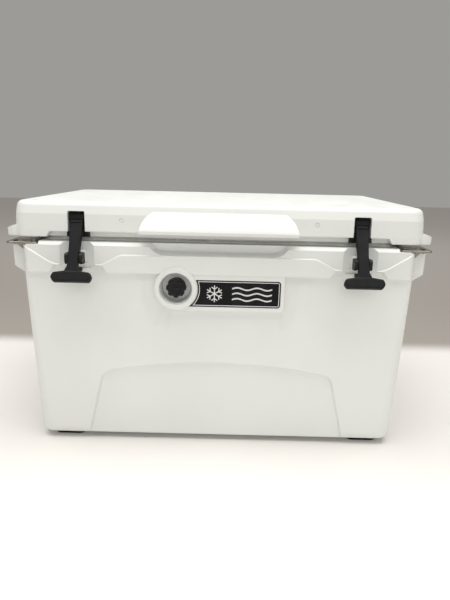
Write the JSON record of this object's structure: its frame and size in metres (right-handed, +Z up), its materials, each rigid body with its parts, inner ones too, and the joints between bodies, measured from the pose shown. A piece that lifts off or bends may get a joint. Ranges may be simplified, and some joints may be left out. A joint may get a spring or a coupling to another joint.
{
  "type": "cooler chest",
  "caption": "Insulated rotomoulded cooler chest with a hinged lid, rubber T-latches, steel padlock plates, screw vent and screw drain.",
  "frame": {"origin": "on the ground, in the middle of the closed chest's overall box", "axes": "+Z up, the front with the latches faces -Y, and +X is to the right seen from the front"},
  "size_m": [0.717, 0.4634, 0.4365],
  "materials": {
    "white_polyethylene": "satin",
    "insulation_foam": "matte",
    "grey_gasket": "matte",
    "black_rubber": "matte",
    "black_plastic": "satin",
    "stainless": "satin",
    "zinc_screw": "satin",
    "gloss_black": "gloss",
    "silver_print": "satin"
  },
  "bodies": {
    "chest": {"body_shell": "white_polyethylene", "body_liner": "white_polyethylene", "body_foam": "insulation_foam", "latch_keeper_left": "black_plastic", "keeper_screws_left": "zinc_screw", "lock_plate_left": "stainless", "lock_screws_left": "zinc_screw", "hinge_body_leaf_left": "black_plastic", "hinge_pin_left": "stainless", "hinge_body_screws_left": "zinc_screw", "latch_keeper_right": "black_plastic", "keeper_screws_right": "zinc_screw", "lock_plate_right": "stainless", "lock_screws_right": "zinc_screw", "hinge_body_leaf_right": "black_plastic", "hinge_pin_right": "stainless", "hinge_body_screws_right": "zinc_screw", "foot_front_left": "black_rubber", "foot_rear_left": "black_rubber", "foot_front_right": "black_rubber", "foot_rear_right": "black_rubber", "foot_screws": "zinc_screw", "vent_bushing": "black_plastic", "vent_nut": "black_plastic", "drain_bulkhead": "black_plastic", "drain_nut": "black_plastic", "nameplate": "gloss_black", "nameplate_trim": "silver_print", "nameplate_emblem": "silver_print"},
    "lid": {"lid_shell": "white_polyethylene", "lid_foam": "insulation_foam", "lid_gasket": "grey_gasket", "latch_bracket_left": "black_plastic", "latch_pin_left": "stainless", "bracket_screws_left": "zinc_screw", "hinge_lid_leaf_left": "black_plastic", "hinge_lid_screws_left": "zinc_screw", "lid_plug_front_left": "white_polyethylene", "lid_plug_top_left": "white_polyethylene", "latch_bracket_right": "black_plastic", "latch_pin_right": "stainless", "bracket_screws_right": "zinc_screw", "hinge_lid_leaf_right": "black_plastic", "hinge_lid_screws_right": "zinc_screw", "lid_plug_front_right": "white_polyethylene", "lid_plug_top_right": "white_polyethylene"},
    "latch_left": {"latch_strap_left": "black_rubber"},
    "latch_right": {"latch_strap_right": "black_rubber"},
    "vent_travel": {"vent_seal": "black_rubber"},
    "vent_cap": {"vent_knob": "black_plastic"},
    "drain_travel": {"drain_seal": "black_rubber"},
    "drain_cap": {"drain_plug": "black_plastic"}
  },
  "joints": [
    {"name": "lid_hinge", "type": "hinge", "parent": "chest", "child": "lid", "pos_m": [0, 0.2252, 0.38], "axis": [-1, 0, 0], "range_deg": [0, 100]},
    {"name": "latch_left_swing", "type": "hinge", "parent": "lid", "child": "latch_left", "pos_m": [-0.237, -0.1698, 0.4105], "axis": [-1, 0, 0], "range_deg": [0, 85]},
    {"name": "latch_right_swing", "type": "hinge", "parent": "lid", "child": "latch_right", "pos_m": [0.237, -0.1698, 0.4105], "axis": [-1, 0, 0], "range_deg": [0, 85]},
    {"name": "vent_slide", "type": "slide", "parent": "chest", "child": "vent_travel", "axis": [0, -1, 0], "range_m": [0, 0.0046]},
    {"name": "vent_turn", "type": "hinge", "parent": "vent_travel", "child": "vent_cap", "pos_m": [-0.072, -0.1898, 0.295], "axis": [0, -1, 0], "range_deg": [0, 540]},
    {"name": "drain_slide", "type": "slide", "parent": "chest", "child": "drain_travel", "axis": [1, 0, 0], "range_m": [0, 0.0046]},
    {"name": "drain_turn", "type": "hinge", "parent": "drain_travel", "child": "drain_cap", "pos_m": [0.31, 0.0162, 0.081], "axis": [1, 0, 0], "range_deg": [0, 540]}
  ],
  "couplings": [
    {"joint": "vent_slide", "follows": "vent_turn", "m_per_rad": 0.00047746},
    {"joint": "drain_slide", "follows": "drain_turn", "m_per_rad": 0.00047746}
  ]
}
